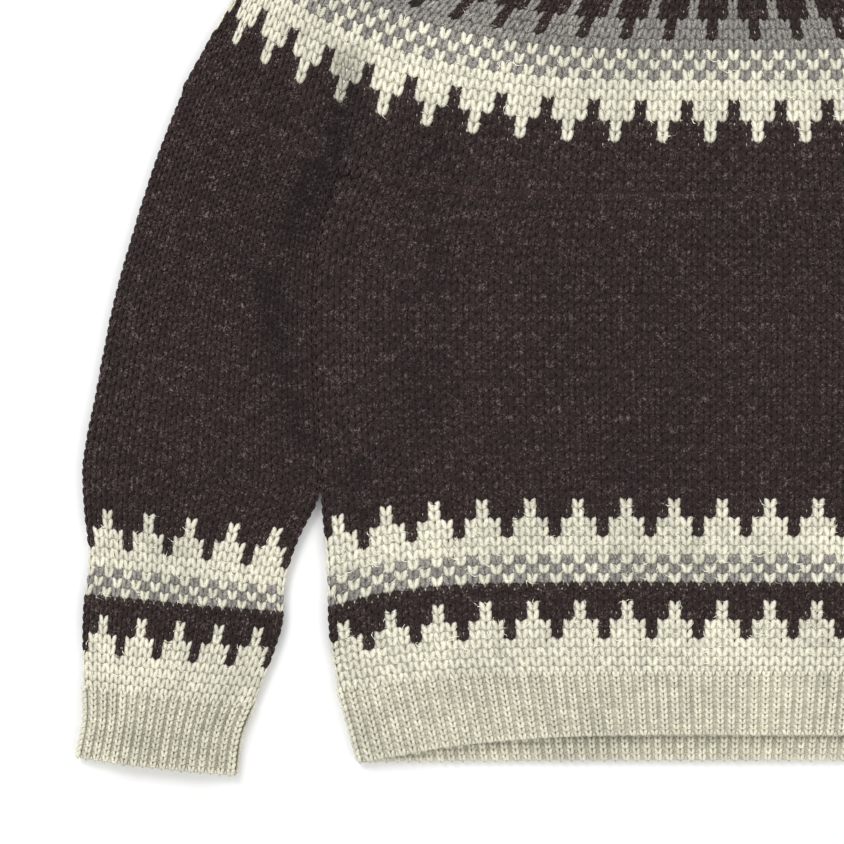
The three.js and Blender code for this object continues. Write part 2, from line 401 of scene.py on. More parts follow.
class BodyForm(Form):
    """Body and hem rib."""

    def half_width(self, at: np.ndarray) -> np.ndarray:
        """Distance from the centre line to the fold axis."""
        return body_table(at)["half"] - REAL_OUT

    def round_at(self, at: np.ndarray, s: np.ndarray, back: np.ndarray) -> tuple[np.ndarray, ...]:
        """Places along a round of the body, with folds that point straight out."""
        x, y, _, out_y = bowed(body_table(at), s, back)
        return x, y, np.sign(s), np.zeros_like(out_y)


@dataclass
class YokeForm(Form):
    """Yoke and neckband."""

    table: Smooth = yoke_table
    spread_at: tuple[float, ...] = (0.0, 0.42, 0.8)
    spread_share: tuple[float, ...] = (0.13, 0.2, 0.0)

    def half_width(self, at: np.ndarray) -> np.ndarray:
        """Distance from the centre line to the fold axis."""
        return self.table(at)["half"] - REAL_OUT

    def spread(self, t: np.ndarray, at: np.ndarray) -> np.ndarray:
        """Stitches of the yoke are a little wider over the chest than over the shoulders."""
        if self.table is neck_table:
            return t
        return t * (1 + np.interp(at, self.spread_at, self.spread_share) * (1 - t**4))

    def round_at(self, at: np.ndarray, s: np.ndarray, back: np.ndarray) -> tuple[np.ndarray, ...]:
        """Places along a round, with folds that follow the row's own end."""
        return bowed(self.table(at), s, back)


@dataclass
class SleeveForm(Form):
    """Sleeve and cuff, on the wearer's left or right."""

    side: Side = Side.LEFT

    def half_width(self, at: np.ndarray) -> np.ndarray:
        """Half the distance between the two fold axes."""
        row = sleeve_table(at)
        width = np.hypot(row["outer_x"] - row["inner_x"], row["outer_y"] - row["inner_y"])
        return width / 2 - REAL_OUT

    def round_at(self, at: np.ndarray, s: np.ndarray, back: np.ndarray) -> tuple[np.ndarray, ...]:
        """Places along a round from the inner fold to the outer one, sagging into the join."""
        sign = self.side.value
        row = sleeve_table(at)
        run_x, run_y = row["outer_x"] - row["inner_x"], row["outer_y"] - row["inner_y"]
        length = np.hypot(run_x, run_y)
        run_x, run_y = run_x / length, run_y / length
        share = (s * sign + 1) / 2
        reach = REAL_OUT + share * (length - 2 * REAL_OUT)
        x, y = row["inner_x"] + run_x * reach, row["inner_y"] + run_y * reach
        top_in = UNDERARM_X + SLEEVE_TUCK + REAL_OUT
        top_x = top_in + share * (JOIN_FOLD_X - top_in)
        low, high = join_y(np.array([top_in]))[0], join_y(np.array([JOIN_FOLD_X]))[0]
        y = y + row["sag"] * (join_y(top_x) - (low + share * (high - low)))
        outward = np.sign(s) * sign
        return x * sign, y, run_x * outward * sign, run_y * outward


# The garment's millimetres are placed on the frame by the top edge of the neckband.
SHIFT_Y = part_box("neckband")[1][1] - NECK_TOP * MM


def to_frame(places: np.ndarray) -> np.ndarray:
    """Garment millimetres to the frame's metres."""
    return places * MM + np.array([0, SHIFT_Y, 0])


def mesh_object(name: str, points: np.ndarray, faces: np.ndarray) -> bpy.types.Object:
    """A mesh object from points and faces of one size.

    Args:
        name: the object's name.
        points: places in metres.
        faces: corner numbers, one row for each face.

    Returns:
        The new object, linked to the scene.
    """
    mesh = bpy.data.meshes.new(name)
    count, size = faces.shape
    mesh.vertices.add(len(points))
    mesh.vertices.foreach_set("co", points.astype(np.float32).ravel())
    mesh.loops.add(count * size)
    mesh.loops.foreach_set("vertex_index", faces.astype(np.int32).ravel())
    mesh.polygons.add(count)
    mesh.polygons.foreach_set("loop_start", np.arange(0, count * size, size, dtype=np.int32))
    mesh.update(calc_edges=True)
    mesh.validate()
    thing = bpy.data.objects.new(name, mesh)
    bpy.context.scene.collection.objects.link(thing)
    return thing


def write_float(mesh: bpy.types.Mesh, name: str, values: np.ndarray) -> None:
    """Stores one number a vertex under a name."""
    layer = mesh.attributes.new(name, "FLOAT", "POINT")
    layer.data.foreach_set("value", values.astype(np.float32))


@dataclass(frozen=True)
class Strand:
    """One closed, tapered length of yarn, from which stitches, bars and fibres are made."""

    sides: int
    stations: int

    def build(self, route: list[tuple[float, ...]], width: float, depth: float) -> Shape:
        """Sweeps a polygon along a short route, closing to a point at both ends.

        Args:
            route: points of the middle line in column, row and millimetre units.
            width: half width across, in columns.
            depth: half depth, in millimetres.

        Returns:
            Points, triangles and the place of each point along and round the strand.
        """
        line = np.array(route)
        along = np.linspace(0, 1, self.stations + 2)
        given = np.linspace(0, 1, len(line))
        centres = np.stack([np.interp(along, given, line[:, k]) for k in range(3)], axis=1)
        points, marks = [centres[0]], [(0.0, 0.5)]
        for k in range(1, self.stations + 1):
            swell = math.sin(math.pi * (0.12 + 0.76 * along[k])) ** 0.6
            for n in range(self.sides):
                turn = 2 * math.pi * n / self.sides
                ring = (width * swell * math.cos(turn), 0, depth * swell * math.sin(turn))
                points.append(centres[k] + np.array(ring))
                marks.append((along[k], n / self.sides))
        points.append(centres[-1])
        marks.append((1.0, 0.5))
        faces = []
        last = len(points) - 1
        end = 1 + (self.stations - 1) * self.sides
        for n in range(self.sides):
            m = (n + 1) % self.sides
            faces.append((0, 1 + m, 1 + n))
            for k in range(self.stations - 1):
                a, b = 1 + k * self.sides, 1 + (k + 1) * self.sides
                faces += [(a + n, a + m, b + m), (a + n, b + m, b + n)]
            faces.append((last, end + n, end + m))
        return np.array(points), np.array(faces), np.array(marks)


def join_shapes(shapes: list[Shape]) -> Shape:
    """Puts several small meshes into one."""
    starts = np.cumsum([0] + [len(shape[0]) for shape in shapes])
    faces = [shape[1] + start for shape, start in zip(shapes, starts)]
    points, marks = [shape[0] for shape in shapes], [shape[2] for shape in shapes]
    return np.concatenate(points), np.concatenate(faces), np.concatenate(marks)


def face_outwards(points: np.ndarray, faces: np.ndarray) -> np.ndarray:
    """The triangles of a closed shape, turned so that they face out of it."""
    a, b, c = (points[faces[:, k]] for k in range(3))
    volume = np.einsum("ij,ij->", a, np.cross(b, c))
    return faces if volume > 0 else faces[:, ::-1]


def stitch_shape(strand: Strand, kind: StitchKind) -> Shape:
    """The shape of one stitch, in column, row and millimetre units.

    Args:
        strand: how finely the yarn is cut.
        kind: which stitch.

    Returns:
        Points, triangles and strand places.
    """
    if kind is StitchKind.KNIT:
        leg = ((0.07, -0.72, 0.0), (0.2, -0.22, 1.0), (0.31, 0.32, 0.95), (0.4, 0.76, 0.0))
        width, depth = 0.25, 0.85
    elif kind is StitchKind.RIDGE:
        leg = ((0.06, -0.75, 0.2), (0.26, -0.2, 1.3), (0.42, 0.35, 1.3), (0.52, 1.0, 0.3))
        width, depth = 0.34, 1.1
    elif kind is StitchKind.FIBRE:
        route = [(-0.62, 0.0, -0.1), (0.0, 0.2, 0.6), (0.62, 0.0, -0.1)]
        points, faces, marks = strand.build(route, 0.0, 0.09)
        points[1:-1, 1] += np.array([-0.025, 0.025, 0.0])
        return points, faces, marks
    else:
        route = [(-0.5, -0.12, 0.1), (-0.2, 0.1, 0.7), (0.2, 0.1, 0.7), (0.5, -0.12, 0.1)]
        points, faces, marks = strand.build(route, 0.0, 0.8)
        middle = np.interp(marks[:, 0], (0, 1 / 3, 2 / 3, 1), (-0.12, 0.1, 0.1, -0.12))
        taper = np.sin(math.pi * np.clip(marks[:, 0], 0.05, 0.95))
        points[:, 1] = middle + 0.34 * np.cos(marks[:, 1] * 2 * math.pi) * taper
        return points, faces, marks
    sides = [[(x * side, y, z) for x, y, z in leg] for side in (-1, 1)]
    return join_shapes([strand.build(route, width, depth) for route in sides])


def stitch_template(name: str, strand: Strand, kind: StitchKind) -> bpy.types.Object:
    """One stitch as a hidden object, for Geometry Nodes to repeat.

    Args:
        name: the template's name.
        strand: how finely the yarn is cut.
        kind: which stitch.

    Returns:
        The template object.
    """
    points, faces, marks = stitch_shape(strand, kind)
    thing = mesh_object(name, points, face_outwards(points, faces))
    write_float(thing.data, "strand_along", marks[:, 0])
    write_float(thing.data, "strand_round", marks[:, 1])
    thing.hide_render = True
    return thing


def stitch_tree() -> bpy.types.NodeTree:
    """Geometry Nodes that put a stitch on every point, with small random turns and sizes."""
    tree = bpy.data.node_groups.new("stitch_field", "GeometryNodeTree")
    sockets = {
        "Geometry": "NodeSocketGeometry",
        "Stitch": "NodeSocketObject",
        "Wool": "NodeSocketMaterial",
        "Turn": "NodeSocketFloat",
        "Unevenness": "NodeSocketFloat",
        "Seed": "NodeSocketInt",
    }
    for name, kind in sockets.items():
        tree.interface.new_socket(name, in_out="INPUT", socket_type=kind)
    tree.interface.new_socket("Geometry", in_out="OUTPUT", socket_type="NodeSocketGeometry")
    start, end = tree.nodes.new("NodeGroupInput"), tree.nodes.new("NodeGroupOutput")
    info = tree.nodes.new("GeometryNodeObjectInfo")
    place = tree.nodes.new("GeometryNodeInstanceOnPoints")
    turn = tree.nodes.new("FunctionNodeRandomValue")
    size = tree.nodes.new("FunctionNodeRandomValue")
    least_turn, least_size, most_size = (tree.nodes.new("ShaderNodeMath") for _ in range(3))
    swing = tree.nodes.new("ShaderNodeCombineXYZ")
    real = tree.nodes.new("GeometryNodeRealizeInstances")
    dress = tree.nodes.new("GeometryNodeSetMaterial")
    turn.data_type = size.data_type = "FLOAT"
    least_turn.operation, least_turn.inputs[1].default_value = "MULTIPLY", -1.0
    least_size.operation, least_size.inputs[0].default_value = "SUBTRACT", 1.0
    most_size.operation, most_size.inputs[0].default_value = "ADD", 1.0
    given = start.outputs
    for source, target in (
        (given["Geometry"], place.inputs["Points"]),
        (given["Stitch"], info.inputs["Object"]),
        (info.outputs["Geometry"], place.inputs["Instance"]),
        (given["Turn"], least_turn.inputs[0]),
        (least_turn.outputs[0], turn.inputs[2]),
        (given["Turn"], turn.inputs[3]),
        (given["Seed"], turn.inputs["Seed"]),
        (given["Seed"], size.inputs["Seed"]),
        (given["Unevenness"], least_size.inputs[1]),
        (given["Unevenness"], most_size.inputs[1]),
        (least_size.outputs[0], size.inputs[2]),
        (most_size.outputs[0], size.inputs[3]),
        (turn.outputs[1], swing.inputs["Z"]),
        (swing.outputs[0], place.inputs["Rotation"]),
        (size.outputs[1], place.inputs["Scale"]),
        (place.outputs[0], real.inputs[0]),
        (real.outputs[0], dress.inputs["Geometry"]),
        (given["Wool"], dress.inputs["Material"]),
        (dress.outputs[0], end.inputs[0]),
    ):
        tree.links.new(source, target)
    return tree


def drape_piece(piece: bpy.types.Object, form: Form, inside: bool = False) -> None:
    """Moves a flat field's points onto the tube.

    Args:
        piece: the flat stitches.
        form: the tube.
        inside: true to lay them on the inside face, where the faces have to be turned round.
    """
    mesh = piece.data
    points = np.empty(len(mesh.vertices) * 3, np.float32)
    mesh.vertices.foreach_get("co", points)
    points = points.reshape(-1, 3).astype(float)
    laid = form.drape(points[:, 0], points[:, 1], points[:, 2], inside)
    laid[:, 2] = np.maximum(laid[:, 2], LOWEST)
    # Crease depth of each point on the front layer, from which the wool paints shade into the
    # creases.
    write_float(mesh, "crease", crease_share(laid[:, 0], laid[:, 1]) * (laid[:, 2] > AXIS))
    mesh.vertices.foreach_set("co", to_frame(laid).astype(np.float32).ravel())
    if inside:
        mesh.flip_normals()
    mesh.update()
    mesh.shade_smooth()


class Link:
    """A shader socket that can be used in Python expressions."""

    def __init__(self, tree: bpy.types.NodeTree, socket: bpy.types.NodeSocket) -> None:
        """Keeps the tree beside the socket."""
        self.tree, self.socket = tree, socket

    def node(
        self, kind: str, settings: dict | None = None, inputs: dict | None = None, output: int = 0
    ) -> "Link":
        """Adds any node.

        Args:
            kind: the node's type.
            settings: properties that are set first.
            inputs: values or links of its sockets, by name or number.
            output: number of the socket to return.

        Returns:
            The chosen output.
        """
        made = self.tree.nodes.new(kind)
        for key, value in (settings or {}).items():
            setattr(made, key, value)
        for key, value in (inputs or {}).items():
            if isinstance(value, Link):
                self.tree.links.new(value.socket, made.inputs[key])
            else:
                made.inputs[key].default_value = value
        return Link(self.tree, made.outputs[output])

    def attribute(self, name: str) -> "Link":
        """A number that the mesh carries."""
        return self.node("ShaderNodeAttribute", {"attribute_name": name}, {}, 2)

    def mix(self, share: "Link", first: "Link | tuple", second: "Link | tuple") -> "Link":
        """A colour between two others."""
        inputs = {0: share, 6: first, 7: second}
        return self.node("ShaderNodeMix", {"data_type": "RGBA"}, inputs, 2)

    def ramp(self, low: float, high: float, most: float) -> "Link":
        """The value stretched from low and high to 0 and most."""
        return self.node("ShaderNodeMapRange", {}, {0: self, 1: low, 2: high, 3: 0.0, 4: most})

    def math(self, operation: str, first: "Link | float", second: "Link | float") -> "Link":
        """One Math node."""
        return self.node("ShaderNodeMath", {"operation": operation}, {0: first, 1: second})

    def __add__(self, other: "Link | float") -> "Link":
        """Sum."""
        return self.math("ADD", self, other)

    def __radd__(self, other: float) -> "Link":
        """Sum with a number in front."""
        return self.math("ADD", other, self)

    def __sub__(self, other: "Link | float") -> "Link":
        """Difference."""
        return self.math("SUBTRACT", self, other)

    def __rsub__(self, other: float) -> "Link":
        """Difference from a number."""
        return self.math("SUBTRACT", other, self)

    def __mul__(self, other: "Link | float") -> "Link":
        """Product."""
        return self.math("MULTIPLY", self, other)

    def __rmul__(self, other: float) -> "Link":
        """Product with a number in front."""
        return self.math("MULTIPLY", other, self)


def linear(red: int, green: int, blue: int) -> tuple[float, ...]:
    """A screen colour as linear values."""
    return tuple(((v / 255 + 0.055) / 1.055) ** 2.4 for v in (red, green, blue)) + (1.0,)


@dataclass(frozen=True)
class Wool:
    """A heathered wool: each yarn has a ground, a darker and a lighter fibre."""

    name: str = "heathered_wool"
    dark: tuple = (linear(58, 44, 42), linear(33, 23, 22), linear(138, 124, 118))
    cream: tuple = (linear(236, 233, 216), linear(214, 210, 189), linear(246, 244, 233))
    grey: tuple = (linear(160, 156, 150), linear(118, 113, 109), linear(206, 203, 196))
    fibre_scale: float = 900.0
    cloud_scale: float = 160.0
    wear_scale: float = 14.0
    cream_fleck: float = 0.6
    stitch_shade: float = 0.09
    cloud_shade: float = 0.5
    wear_shade: float = 0.5
    fibre_glow: float = 0.7
    # Painted shade: how much darker the colour is painted at the bottom of a crease.
    painted_crease_shade: float = 0.45
    ply_turns: float = 22.0
    ply_relief: float = 0.35
    fibre_relief: float = 1.6
    roughness: float = 0.94

    def blend(self, base: Link, yarn: tuple, fine: Link, fleck: Link) -> Link:
        """One yarn's colour from its three fibres."""
        return base.mix(fleck, base.mix(fine, yarn[1], yarn[0]), yarn[2])

    def colour(self, base: Link, fibre: Link) -> Link:
        """The cloth's colour: the stitch's yarn, its flecks, unevenness and painted shade in the
        creases.

        Args:
            base: object coordinates.
            fibre: fine noise.

        Returns:
            The colour.
        """
        noise = "ShaderNodeTexNoise"
        cloud = base.node(noise, {}, {"Vector": base, "Scale": self.cloud_scale, "Detail": 2.0})
        wear = base.node(noise, {}, {"Vector": base, "Scale": self.wear_scale, "Detail": 3.0})
        fine = fibre.ramp(0.38, 0.6, 1.0)
        fleck = (fibre + 0.35 * cloud).ramp(0.74, 0.9, 0.8)
        dark = self.blend(base, self.dark, fine, fleck)
        cream = self.blend(base, self.cream, fine, fleck * self.cream_fleck)
        grey = self.blend(base, self.grey, fine, fleck)
        yarn = base.attribute("yarn")
        colour = base.mix(base.math("GREATER_THAN", yarn, 0.5), dark, cream)
        colour = base.mix(base.math("GREATER_THAN", yarn, 1.5), colour, grey)
        value = 1.0 + base.attribute("shade") * self.stitch_shade
        value = value + (cloud - 0.5) * self.cloud_shade + (wear - 0.5) * self.wear_shade
        value = value * (1.0 + base.attribute("hair") * self.fibre_glow)
        # Painted shade: the colour is darkened down into the creases, where shadow falls.
        value = value * (1.0 - base.attribute("crease") * self.painted_crease_shade)
        return base.node("ShaderNodeHueSaturation", {}, {"Value": value, "Color": colour})

    def build(self) -> bpy.types.Material:
        """Makes the material."""
        material = bpy.data.materials.new(self.name)
        material.use_nodes = True
        tree = material.node_tree
        shader = tree.nodes["Principled BSDF"]
        base = Link(tree, tree.nodes.new("ShaderNodeTexCoord").outputs["Object"])
        grain = {"Vector": base, "Scale": self.fibre_scale, "Detail": 3.0, "Roughness": 0.7}
        fibre = base.node("ShaderNodeTexNoise", {}, grain)
        tree.links.new(self.colour(base, fibre).socket, shader.inputs["Base Color"])
        twist = base.attribute("strand_along") * self.ply_turns
        twist = twist + base.attribute("strand_round") * math.tau
        relief = base.math("SINE", twist, 0.0) * self.ply_relief + fibre * self.fibre_relief
        raised = {"Height": relief, "Strength": 0.55, "Distance": 0.0005}
        tree.links.new(base.node("ShaderNodeBump", {}, raised).socket, shader.inputs["Normal"])
        shader.inputs["Roughness"].default_value = self.roughness
        shader.inputs["Specular IOR Level"].default_value = 0.15
        shader.inputs["Sheen Weight"].default_value = 0.05
        shader.inputs["Sheen Roughness"].default_value = 0.6
        return material


@dataclass
class Knitter:
    """Holds what every piece is knitted with, and knits the layers of a tube."""

    wool: bpy.types.Material
    tree: bpy.types.NodeTree
    knit: bpy.types.Object
    knit_back: bpy.types.Object
    ridge: bpy.types.Object
    bar: bpy.types.Object
    fibre: bpy.types.Object
    turn: float = 0.05
    unevenness: float = 0.06
    fibre_turn: float = 3.1
    fibre_unevenness: float = 0.45
    fibre_margin: float = 0.6
    ridge_height: float = 0.8
    bar_height: float = -0.45
    edge_height: float = 0.75
    pieces: list = field(default_factory=list)

    def templates(self) -> list[bpy.types.Object]:
        """The hidden shapes that are repeated."""
        return [self.knit, self.knit_back, self.ridge, self.bar, self.fibre]

    def repeat(
        self,
        name: str,
        spots: np.ndarray,
        wools: np.ndarray,
        template: bpy.types.Object,
        seed: int,
    ) -> bpy.types.Object:
        """Repeats a stitch over a flat field of spots and bakes the result to a plain mesh.

        Args:
            name: name of the piece.
            spots: column, row and height of each stitch.
            wools: which yarn each stitch is worked in.
            template: the stitch.
            seed: fixed seed of the unevenness.

        Returns:
            The piece, still flat.
        """
        mesh = bpy.data.meshes.new(f"{name}_field")
        mesh.vertices.add(len(spots))
        mesh.vertices.foreach_set("co", spots.astype(np.float32).ravel())
        write_float(mesh, "yarn", wools)
        write_float(mesh, "shade", np.random.default_rng(seed).uniform(-1, 1, len(spots)))
        field_object = bpy.data.objects.new(f"{name}_field", mesh)
        bpy.context.scene.collection.objects.link(field_object)
        modifier = field_object.modifiers.new("stitches", "NODES")
        modifier.node_group = self.tree
        loose = template is self.fibre
        values = {
            "Stitch": template,
            "Wool": self.wool,
            "Turn": self.fibre_turn if loose else self.turn,
            "Unevenness": self.fibre_unevenness if loose else self.unevenness,
            "Seed": seed,
        }
        for item in self.tree.interface.items_tree:
            if item.in_out == "INPUT" and item.name in values:
                modifier[item.identifier] = values[item.name]
        graph = bpy.context.evaluated_depsgraph_get()
        graph.update()
        made = bpy.data.meshes.new_from_object(field_object.evaluated_get(graph), depsgraph=graph)
        bpy.data.objects.remove(field_object)
        made.name = name
        piece = bpy.data.objects.new(name, made)
        bpy.context.scene.collection.objects.link(piece)
        return piece

    def backing(self, name: str, form: Form, yarn_of: YarnLookUp) -> bpy.types.Object:
        """The thin closed wall that the stitches stand on.

        Args:
            name: the sheet's name.
            form: the tube.
            yarn_of: function from column and row numbers to yarn numbers.

        Returns:
            The sheet, coloured as the stitches over it.
        """
        around, rounds = form.columns, form.rows + 1
        column, row = np.meshgrid(np.arange(around), np.arange(rounds))
        flat = (column.ravel().astype(float), row.ravel().astype(float), np.zeros(around * rounds))
        outer, inner = form.drape(*flat), form.drape(*flat, inside=True)
        turned = inner.reshape(rounds, around, 3)[::-1].reshape(-1, 3)
        here = np.arange(2 * rounds)[:, None] * around
        after = np.roll(here, -1, axis=0)
        i = np.arange(around)[None]
        j = (i + 1) % around
        faces = np.stack([here + i, here + j, after + j, after + i], axis=-1).reshape(-1, 4)
        piece = mesh_object(name, to_frame(np.concatenate([outer, turned])), faces)
        rows = np.minimum(np.concatenate([row.ravel(), row[::-1].ravel()]), form.rows - 1)
        count = len(rows)
        write_float(piece.data, "yarn", yarn_of(np.tile(column.ravel(), 2), rows))
        write_float(piece.data, "shade", np.zeros(count))
        write_float(piece.data, "strand_along", np.full(count, 0.5))
        write_float(piece.data, "strand_round", np.full(count, 0.25))
        piece.data.materials.append(self.wool)
        piece.data.shade_smooth()
        return piece

    def stitches(
        self, name: str, form: Form, yarn_of: YarnLookUp, layer: Layer
    ) -> bpy.types.Object:
        """The knit stitches of one layer of a tube, from one round below its first.

        Args:
            name: the piece's name.
            form: the tube.
            yarn_of: function from column and row numbers to yarn numbers.
            layer: front or back.

        Returns:
            The draped stitches.
        """
        column, row = self.places(form, layer, -1, form.rows)
        spots = np.stack([column + 0.5, row + 0.5, np.zeros(len(row))], axis=1)
        template = self.knit if layer is Layer.FRONT else self.knit_back
        seed = SEED + len(self.pieces)
        piece = self.repeat(name, spots, yarn_of(column, row), template, seed)
        drape_piece(piece, form)
        return piece

    def places(self, form: Form, layer: Layer, low: int, high: int) -> tuple[np.ndarray, ...]:
        """Column and row numbers of a layer's stitches, from row low up to before high."""
        half = form.columns // 2
        first = 0 if layer is Layer.FRONT else half
        column, row = np.meshgrid(np.arange(first, first + half), np.arange(low, high))
        return column.ravel(), row.ravel()

    def fuzz(self, name: str, form: Form, yarn_of: YarnLookUp, count: int) -> bpy.types.Object:
        """Stray fibres over the front layer of a tube, a little lighter than their yarn.

        Args:
            name: the piece's name.
            form: the tube.
            yarn_of: function from column and row numbers to yarn numbers.
            count: how many fibres.

        Returns:
            The draped fibres.
        """
        chance = np.random.default_rng(SEED + len(name))
        margin = self.fibre_margin
        column = chance.uniform(margin, form.columns / 2 - margin, count)
        row = chance.uniform(0.5, form.rows - 0.5, count)
        spots = np.stack([column, row, chance.uniform(0.7, 1.1, count)], axis=1)
        yarns = yarn_of(column.astype(int), row.astype(int))
        piece = self.repeat(name, spots, yarns, self.fibre, FIBRE_SEED)
        write_float(piece.data, "hair", np.ones(len(piece.data.vertices)))
        drape_piece(piece, form)
        return piece

    def rib(
        self, name: str, form: Form, yarn: Yarn, layer: Layer, rows: int, edge: float = 0.0
    ) -> bpy.types.Object:
        """Knit-one-purl-one rib of one layer: raised ridges of Vs between sunken bars.

        Args:
            name: the piece's name.
            form: the tube.
            yarn: the yarn.
            layer: which face of the tube.
            rows: how many rounds have stitches.
            edge: row of the cord that ends the rib, on the outside layers.

        Returns:
            The draped rib.
        """
        yarn_of, inside = plain_yarn(yarn), layer is Layer.INSIDE
        column, row = self.places(form, layer, 0, rows)
        runs = []
        kinds = ((0, self.ridge, self.ridge_height), (1, self.bar, self.bar_height))
        for odd, template, height in kinds:
            keep = column % 2 == odd
            at = row[keep] + 0.5
            runs.append((f"{name}_{odd}", column[keep], at, height, template, RIB_SEED))
        if not inside:
            round_ = self.places(form, layer, 0, 1)[0]
            cord = (np.full(len(round_), edge), self.edge_height, self.bar, EDGE_SEED)
            runs.append((f"{name}_edge", round_, *cord))
        parts = []
        for part_name, columns, at, height, template, seed in runs:
            spots = np.stack([columns + 0.5, at, np.full(len(columns), height)], axis=1)
            part = self.repeat(part_name, spots, yarn_of(columns, columns), template, seed)
            drape_piece(part, form, inside)
            parts.append(part)
        bpy.ops.object.select_all(action="DESELECT")
        for part in parts:
            part.select_set(True)
        bpy.context.view_layer.objects.active = parts[0]
        bpy.ops.object.join()
        parts[0].name = parts[0].data.name = name
        return parts[0]

    def finish(
        self,
        node: str,
        sheet: bpy.types.Object,
        extras: list[bpy.types.Object],
        flat: tuple[float, float],
        slot: str,
        area: float | None = None,
    ) -> None:
        """Attaches a piece's cloth and the stitches on it to the root, hides the solid they stand
        for, and logs their faces.

        Args:
            node: the solid that they stand for.
            sheet: the backing wall.
            extras: the stitches on it.
            flat: round and length of the tube opened out, in metres; not used.
            slot: name of a material slot; not used.
            area: area of the cut in square metres, where it isn't a rectangle; not used.
        """
        for piece in [sheet, *extras]:
            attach(piece, "root")
            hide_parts(node)
            self.pieces.append(piece)
            LOG.info("%s: %d faces", piece.name, len(piece.data.polygons))


def chart_yarn(chart: tuple, offset: int = 0) -> YarnLookUp:
    """A function that reads a chart, plain dark above it.

    Args:
        chart: rounds of four stitches, bottom first.
        offset: which column the repeat starts on.

    Returns:
        Function from column and row numbers to yarn numbers.
    """
    table = np.array([[yarn.value for yarn in line] for line in chart])

    def look_up(column: np.ndarray, row: np.ndarray) -> np.ndarray:
        """Yarn numbers for stitches."""
        found = table[np.clip(row, 0, len(table) - 1), (column - offset) % table.shape[1]]
        return np.where(row < len(table), found, Yarn.DARK.value)

    return look_up


def plain_yarn(yarn: Yarn) -> YarnLookUp:
    """A function that gives one yarn everywhere."""
    return lambda column, row: np.full(np.shape(column), yarn.value)


@dataclass
class BodyAndHem:
    """The body tube and the rib round its hem."""

    knitter: Knitter
    stitches: int = 136
    rows: int = 51
    first_peak: int = 1
    fibres: int = 8200
    flat: tuple[float, float] = (1.01, 0.29)
    rib_stitches: int = 272
    rib_rows: int = 13
    inside_rows: int = 6
    cast_on: float = 0.35
    rib_flat: tuple[float, float] = (0.97, 0.048)

    def build(self) -> None:
        """Knits the body and then the hem."""
        knit = self.knitter
        form = BodyForm(self.stitches, self.rows, RIB_TOP + SEAM / 2, JOIN_CENTRE - SEAM)
        yarn = chart_yarn(BORDER, self.first_peak)
        sheet = knit.backing("body_cloth", form, yarn)
        extras = [
            knit.stitches("body_front_stitches", form, yarn, Layer.FRONT),
            knit.stitches("body_back_stitches", form, yarn, Layer.BACK),
            knit.fuzz("body_fibres", form, yarn, self.fibres),
        ]
        knit.finish("body", sheet, extras, self.flat, "dark_brown_colourwork")
        form = BodyForm(self.rib_stitches, self.rib_rows, HEM, RIB_TOP - SEAM / 2)
        sheet = knit.backing("hem_rib_cloth", form, plain_yarn(Yarn.CREAM))
        rows, edge = self.rib_rows - 1, self.cast_on
        extras = [
            knit.rib("hem_rib_front", form, Yarn.CREAM, Layer.FRONT, rows, edge),
            knit.rib("hem_rib_back", form, Yarn.CREAM, Layer.BACK, rows, edge),
            knit.rib("hem_rib_inside", form, Yarn.CREAM, Layer.INSIDE, self.inside_rows),
        ]
        knit.finish("hem_rib", sheet, extras, self.rib_flat, "cream_rib")


@dataclass
class SleeveAndCuff:
    """One sleeve tube and its cuff."""

    knitter: Knitter
    side: Side
    stitches: int = 42
    rows: int = 64
    first_peak: int = 2
    fibres: int = 2200
    flat: tuple[float, float] = (0.27, 0.375)
    cuff_stitches: int = 68
    cuff_rows: int = 13
    cast_on: float = 0.35
    cuff_flat: tuple[float, float] = (0.22, 0.05)

    def build(self) -> None:
        """Knits the sleeve and then the cuff."""
        knit, name = self.knitter, self.side.name.lower()
        start = CUFF_TOP + SEAM / 2
        form = SleeveForm(self.stitches, self.rows, start, SLEEVE_LENGTH, self.side)
        yarn = chart_yarn(BORDER, self.first_peak)
        sheet = knit.backing(f"sleeve_{name}_cloth", form, yarn)
        extras = [
            knit.stitches(f"sleeve_{name}_front_stitches", form, yarn, Layer.FRONT),
            knit.stitches(f"sleeve_{name}_back_stitches", form, yarn, Layer.BACK),
            knit.fuzz(f"sleeve_{name}_fibres", form, yarn, self.fibres),
        ]
        knit.finish(f"sleeve_{name}", sheet, extras, self.flat, "dark_brown_colourwork")
        form = SleeveForm(self.cuff_stitches, self.cuff_rows, 0.0, CUFF_TOP - SEAM / 2, self.side)
        sheet = knit.backing(f"cuff_{name}_cloth", form, plain_yarn(Yarn.CREAM))
        rows, edge = self.cuff_rows - 1, self.cast_on
        extras = [
            knit.rib(f"cuff_{name}_front", form, Yarn.CREAM, Layer.FRONT, rows, edge),
            knit.rib(f"cuff_{name}_back", form, Yarn.CREAM, Layer.BACK, rows, edge),
        ]
        knit.finish(f"cuff_{name}", sheet, extras, self.cuff_flat, "cream_rib")


